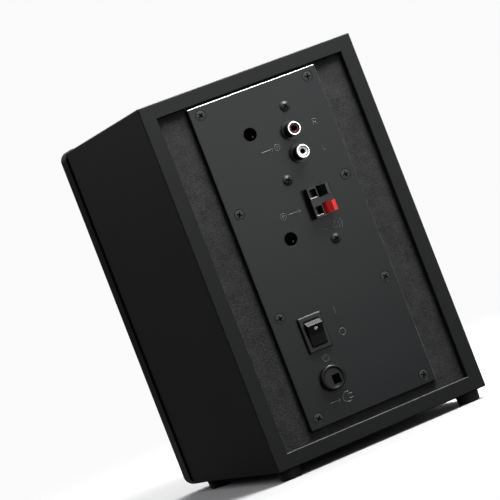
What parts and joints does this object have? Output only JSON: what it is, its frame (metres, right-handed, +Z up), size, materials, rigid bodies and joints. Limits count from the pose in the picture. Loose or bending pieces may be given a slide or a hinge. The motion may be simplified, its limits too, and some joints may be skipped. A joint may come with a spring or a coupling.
{
  "type": "powered speaker",
  "caption": "Compact black two-way powered bookshelf speaker with a pull-off cloth grille and a rear amplifier plate carrying inputs, terminals, mains rocker switch and cord gland.",
  "frame": {"origin": "on the floor under the middle of the overall box", "axes": "-Y the way the speaker faces, +Y out of the amplifier plate, +Z up, +X the listener's right"},
  "size_m": [0.1414, 0.1862, 0.2292],
  "materials": {
    "vinyl_board": "black satin vinyl on MDF",
    "rear_board": "black textured vinyl on MDF",
    "baffle_board": "black vinyl on MDF",
    "wadding": "loose polyester wadding",
    "plate_paint": "satin black powder coat",
    "foam": "closed-cell foam",
    "black_screw": "black oxide",
    "plated_screw": "zinc plated",
    "brass": "turned",
    "circuit_board": "green solder mask",
    "alloy": "extruded",
    "chip_plastic": "moulded epoxy",
    "can_sleeve": "shrink sleeve over aluminium",
    "black_plastic": "moulded, fine texture",
    "chrome": "polished",
    "red_plastic": "moulded",
    "white_plastic": "moulded",
    "gloss_black_plastic": "moulded",
    "tinned_metal": "tinned",
    "lamination_steel": "varnished laminations",
    "winding_tape": "polyester tape",
    "zinc_steel": "zinc plated",
    "basket_steel": "black paint",
    "motor_steel": "zinc plated",
    "ferrite": "sintered ferrite",
    "copper_coil": "enamelled copper on paper",
    "spider_cloth": "doped cotton",
    "cone_paper": "coated paper",
    "rubber": "soft rubber",
    "dome_silk": "coated silk",
    "grille_cloth": "knitted grille cloth",
    "lead_sleeve": "insulated stranded wire"
  },
  "bodies": {
    "cabinet": {"amp_board": "circuit_board", "amp_chip": "chip_plastic", "amp_plate": "plate_paint", "board_screws": "plated_screw", "board_spacers": "brass", "bottom_board": "vinyl_board", "damping_pad": "wadding", "driver_screws": "black_screw", "filter_capacitor_left": "can_sleeve", "filter_capacitor_right": "can_sleeve", "foot_front_left": "rubber", "foot_front_right": "rubber", "foot_rear_left": "rubber", "foot_rear_right": "rubber", "front_baffle": "baffle_board", "grille_sockets": "rubber", "heat_sink": "alloy", "input_jack": "black_plastic", "left_side_board": "vinyl_board", "output_jack": "black_plastic", "plate_gasket": "foam", "plate_screws": "black_screw", "power_gland": "black_plastic", "rca_housing": "black_plastic", "rca_insulator_red": "red_plastic", "rca_insulator_white": "white_plastic", "rca_shell_red": "chrome", "rca_shell_white": "chrome", "rear_panel": "rear_board", "right_side_board": "vinyl_board", "speaker_leads": "lead_sleeve", "switch_housing": "black_plastic", "switch_lugs": "tinned_metal", "terminal_body": "black_plastic", "terminal_contacts": "tinned_metal", "top_board": "vinyl_board", "transformer_bracket": "zinc_steel", "transformer_core": "lamination_steel", "transformer_screws": "plated_screw", "transformer_winding": "winding_tape", "tweeter_faceplate": "black_plastic", "tweeter_magnet": "ferrite", "tweeter_top_plate": "motor_steel", "tweeter_yoke": "motor_steel", "woofer_basket": "basket_steel", "woofer_magnet": "ferrite", "woofer_spider": "spider_cloth", "woofer_surround": "rubber", "woofer_top_plate": "motor_steel", "woofer_yoke": "motor_steel"},
    "grille": {"grille_frame": "black_plastic", "grille_cloth": "grille_cloth", "grille_pegs": "black_plastic"},
    "woofer_cone": {"woofer_cone": "cone_paper", "woofer_dust_cap": "cone_paper", "woofer_voice_coil": "copper_coil"},
    "tweeter_dome": {"tweeter_dome": "dome_silk"},
    "power_rocker": {"switch_rocker": "gloss_black_plastic"},
    "red_lever": {"terminal_lever_red": "red_plastic"},
    "black_lever": {"terminal_lever_black": "gloss_black_plastic"}
  },
  "joints": [
    {"name": "grille_pull", "type": "slide", "parent": "cabinet", "child": "grille", "axis": [0, -1, 0], "range_m": [0, 0.06]},
    {"name": "woofer_stroke", "type": "slide", "parent": "cabinet", "child": "woofer_cone", "axis": [0, -1, 0], "range_m": [-0.0035, 0.0035], "stiffness_N_per_m": 1200, "deforming": ["woofer_surround", "woofer_spider"]},
    {"name": "tweeter_stroke", "type": "slide", "parent": "cabinet", "child": "tweeter_dome", "axis": [0, -1, 0], "range_m": [-0.0003, 0.0003], "stiffness_N_per_m": 1000},
    {"name": "power_switch", "type": "hinge", "parent": "cabinet", "child": "power_rocker", "pos_m": [0.0182, 0.0839, 0.0727], "axis": [1, 0, 0], "range_deg": [0, 28]},
    {"name": "red_lever_press", "type": "hinge", "parent": "cabinet", "child": "red_lever", "pos_m": [-0.0149, 0.0872, 0.137], "axis": [0, 0, 1], "range_deg": [0, 20], "stiffness_Nm_per_rad": 0.02, "springref_deg": -11.46},
    {"name": "black_lever_press", "type": "hinge", "parent": "cabinet", "child": "black_lever", "pos_m": [-0.0149, 0.0872, 0.1474], "axis": [0, 0, 1], "range_deg": [0, 20], "stiffness_Nm_per_rad": 0.02, "springref_deg": -11.46}
  ]
}
